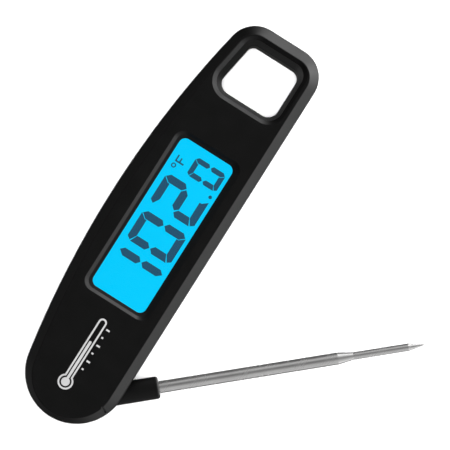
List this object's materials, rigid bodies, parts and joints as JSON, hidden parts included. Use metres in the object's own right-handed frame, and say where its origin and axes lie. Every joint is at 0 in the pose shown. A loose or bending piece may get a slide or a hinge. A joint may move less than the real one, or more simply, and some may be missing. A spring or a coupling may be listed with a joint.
{
  "type": "folding meat thermometer",
  "caption": "Folding probe thermometer with a bevelled bar-shaped case, backlit digital display, hanging loop and a pointed steel probe that swings out of a side channel.",
  "frame": {"origin": "middle of the case's outline, on its flat back", "axes": "+Z is the way the display faces, +Y runs along the case to the hanging loop, +X is the side that the probe folds into"},
  "size_m": [0.1142, 0.1458, 0.017],
  "materials": {
    "case_black": "satin moulded",
    "arm_black": "satin moulded",
    "window_clear": "clear polished",
    "lcd_cyan": "backlit",
    "lcd_ink": "smooth",
    "frame_white": "moulded",
    "guide_clear": "polished",
    "led_body": "smooth",
    "strip_rubber": "smooth",
    "board_green": "solder mask",
    "epoxy_black": "glossy",
    "chip_tan": "smooth",
    "reed_glass": "clear",
    "switch_steel": "stamped",
    "socket_white": "moulded",
    "lead_sleeve": "smooth",
    "cell_steel": "satin",
    "contact_nickel": "stamped",
    "gasket_grey": "smooth",
    "magnet_nickel": "plated",
    "screw_steel": "zinc plated",
    "bush_acetal": "smooth",
    "clip_steel": "spring temper",
    "stem_steel": "drawn and polished",
    "sensor_bead": "smooth",
    "button_grey": "satin",
    "print_grey": "printed ink"
  },
  "bodies": {
    "case": {"front_shell": "case_black", "printed_sign": "print_grey", "rear_shell": "case_black", "case_gasket": "gasket_grey", "display_window": "window_clear", "lcd_panel": "lcd_cyan", "lcd_segments": "lcd_ink", "lcd_frame": "frame_white", "backlight_guide": "guide_clear", "backlight_leds": "led_body", "contact_strip": "strip_rubber", "circuit_board": "board_green", "processor_blob": "epoxy_black", "board_components": "chip_tan", "reed_switch": "reed_glass", "switch_bodies": "switch_steel", "lead_socket": "socket_white", "board_leads": "lead_sleeve", "coin_cell": "cell_steel", "positive_contact": "contact_nickel", "negative_contact": "contact_nickel", "upper_magnet": "magnet_nickel", "lower_magnet": "magnet_nickel", "case_screws": "screw_steel", "front_bush": "bush_acetal", "rear_bush": "bush_acetal", "front_washer": "bush_acetal", "rear_washer": "bush_acetal", "hinge_seal": "gasket_grey", "detent_spring": "clip_steel"},
    "probe": {"probe_arm": "arm_black", "arm_magnet": "magnet_nickel", "probe_stem": "stem_steel", "temperature_sensor": "sensor_bead", "probe_leads": "lead_sleeve", "hinge_clip": "clip_steel"},
    "door": {"battery_door": "case_black", "door_seal": "gasket_grey"},
    "light_key": {"light_button": "button_grey", "light_plunger": "socket_white"},
    "unit_key": {"unit_button": "button_grey", "unit_plunger": "socket_white"}
  },
  "joints": [
    {"name": "probe_hinge", "type": "hinge", "parent": "case", "child": "probe", "pos_m": [0.01473, -0.05745, 0.0049], "axis": [0, 0, -1], "range_deg": [-48.6, 131.4]},
    {"name": "battery_door_twist", "type": "hinge", "parent": "case", "child": "door", "pos_m": [-0.004, -0.018, 0.001], "axis": [0, 0, -1], "range_deg": [0, 35]},
    {"name": "light_button_press", "type": "slide", "parent": "case", "child": "light_key", "axis": [0, 0, 1], "range_m": [0, 0.0005], "stiffness_N_per_m": 3000, "springref_m": -0.0003},
    {"name": "unit_button_press", "type": "slide", "parent": "case", "child": "unit_key", "axis": [0, 0, 1], "range_m": [0, 0.0005], "stiffness_N_per_m": 3000, "springref_m": -0.0003}
  ]
}
